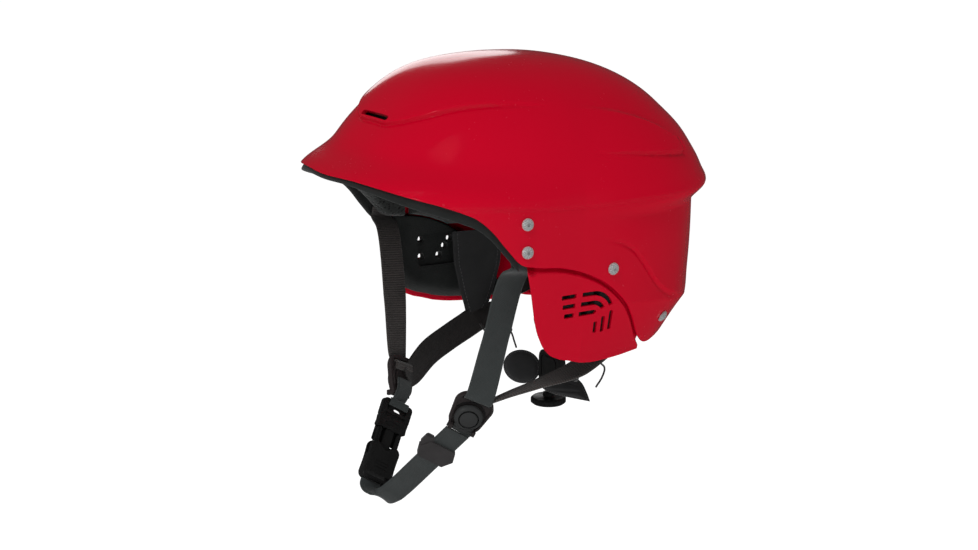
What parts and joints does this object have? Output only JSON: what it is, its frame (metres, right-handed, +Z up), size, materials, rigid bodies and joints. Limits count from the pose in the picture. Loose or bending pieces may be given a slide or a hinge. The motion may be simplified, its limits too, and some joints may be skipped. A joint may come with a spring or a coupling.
{
  "type": "whitewater helmet",
  "caption": "Hard-shell whitewater helmet with vented ear covers, foam liner, webbing chin harness with cam adjusters and buckle, and a rear retention cradle.",
  "frame": {"origin": "middle of the head cavity, at brow height, where a head holds the helmet", "axes": "+Z up out of the crown, the brow faces -Y, the wearer's left ear is on +X"},
  "size_m": [0.221, 0.2843, 0.318],
  "materials": {
    "shell_red": "glossy moulded shell",
    "foam": "closed-cell foam with a mesh face",
    "fabric": "padded woven fabric",
    "webbing": "ribbed flat webbing",
    "plastic": "moulded acetal, satin to glossy",
    "rubber": "smooth rubber",
    "cord": "thin braided lace",
    "steel": "bright stainless"
  },
  "bodies": {
    "root": {"brow_liner": "foam", "cradle_yoke": "fabric", "crown_liner": "foam", "left_adjuster": "plastic", "left_ear_cover": "shell_red", "left_ear_pad": "foam", "left_front_anchor": "plastic", "left_front_lace": "cord", "left_front_lower_nut": "steel", "left_front_lower_screw": "steel", "left_front_strap": "webbing", "left_front_upper_nut": "steel", "left_front_upper_screw": "steel", "left_nape_nut": "steel", "left_nape_screw": "steel", "left_rear_anchor": "plastic", "left_rear_lace": "cord", "left_rear_strap": "webbing", "left_side_liner": "foam", "left_side_nut": "steel", "left_side_screw": "steel", "left_wing": "fabric", "outer_shell": "shell_red", "rear_liner": "foam", "right_adjuster": "plastic", "right_ear_cover": "shell_red", "right_ear_pad": "foam", "right_front_anchor": "plastic", "right_front_lace": "cord", "right_front_lower_nut": "steel", "right_front_lower_screw": "steel", "right_front_strap": "webbing", "right_front_upper_nut": "steel", "right_front_upper_screw": "steel", "right_nape_nut": "steel", "right_nape_screw": "steel", "right_rear_anchor": "plastic", "right_rear_lace": "cord", "right_rear_strap": "webbing", "right_side_liner": "foam", "right_side_nut": "steel", "right_side_screw": "steel", "right_wing": "fabric"},
    "chin_loop": {"chin_webbing": "webbing", "plug_webbing": "webbing", "buckle_plug": "plastic"},
    "keeper": {"strap_keeper": "rubber"},
    "socket": {"buckle_socket": "plastic"},
    "prong_rear": {"buckle_prong_rear": "plastic"},
    "prong_front": {"buckle_prong_front": "plastic"},
    "cam_left": {"left_cam": "plastic"},
    "cam_right": {"right_cam": "plastic"},
    "cradle": {"cradle_core": "plastic", "cradle_left_lobe": "fabric", "cradle_right_lobe": "fabric"},
    "dial": {"cradle_dial": "plastic"}
  },
  "joints": [
    {"name": "chin_swing", "type": "hinge", "parent": "root", "child": "chin_loop", "pos_m": [0, -0.0596, -0.1507], "axis": [1, 0, 0], "range_deg": [-10, 25], "stiffness_Nm_per_rad": 0.05, "springref_deg": -2.06},
    {"name": "keeper_slide", "type": "slide", "parent": "chin_loop", "child": "keeper", "axis": [-0.5945, -0.3727, -0.7125], "range_m": [-0.01, 0.022]},
    {"name": "buckle_release", "type": "slide", "parent": "chin_loop", "child": "socket", "axis": [0.361, -0.532, -0.766], "range_m": [0, 0.02], "deforming": ["chin_webbing"]},
    {"name": "prong_rear_squeeze", "type": "hinge", "parent": "chin_loop", "child": "prong_rear", "pos_m": [-0.03292, -0.06585, -0.1731], "axis": [-0.9251, -0.1002, -0.3664], "range_deg": [0, 6], "stiffness_Nm_per_rad": 0.05},
    {"name": "prong_front_squeeze", "type": "hinge", "parent": "chin_loop", "child": "prong_front", "pos_m": [-0.03491, -0.07998, -0.16422], "axis": [0.9251, 0.1002, 0.3664], "range_deg": [0, 6], "stiffness_Nm_per_rad": 0.05},
    {"name": "cam_left_open", "type": "hinge", "parent": "root", "child": "cam_left", "pos_m": [0.04737, -0.06012, -0.14823], "axis": [0.3301, 0.8434, -0.4239], "range_deg": [0, 70]},
    {"name": "cam_right_open", "type": "hinge", "parent": "root", "child": "cam_right", "pos_m": [-0.04737, -0.06012, -0.14823], "axis": [0.3301, -0.8434, 0.4239], "range_deg": [0, 70]},
    {"name": "cradle_swing", "type": "hinge", "parent": "root", "child": "cradle", "pos_m": [0, 0.0427, -0.117], "axis": [1, 0, 0], "range_deg": [-12, 12], "deforming": ["left_front_lace", "left_rear_lace", "right_front_lace", "right_rear_lace"]},
    {"name": "dial_turn", "type": "hinge", "parent": "cradle", "child": "dial", "pos_m": [0, 0.041, -0.155], "axis": [0, 0, 1], "continuous": true}
  ],
  "couplings": [
    {"joint": "prong_front_squeeze", "follows": "prong_rear_squeeze", "ratio": 1}
  ]
}
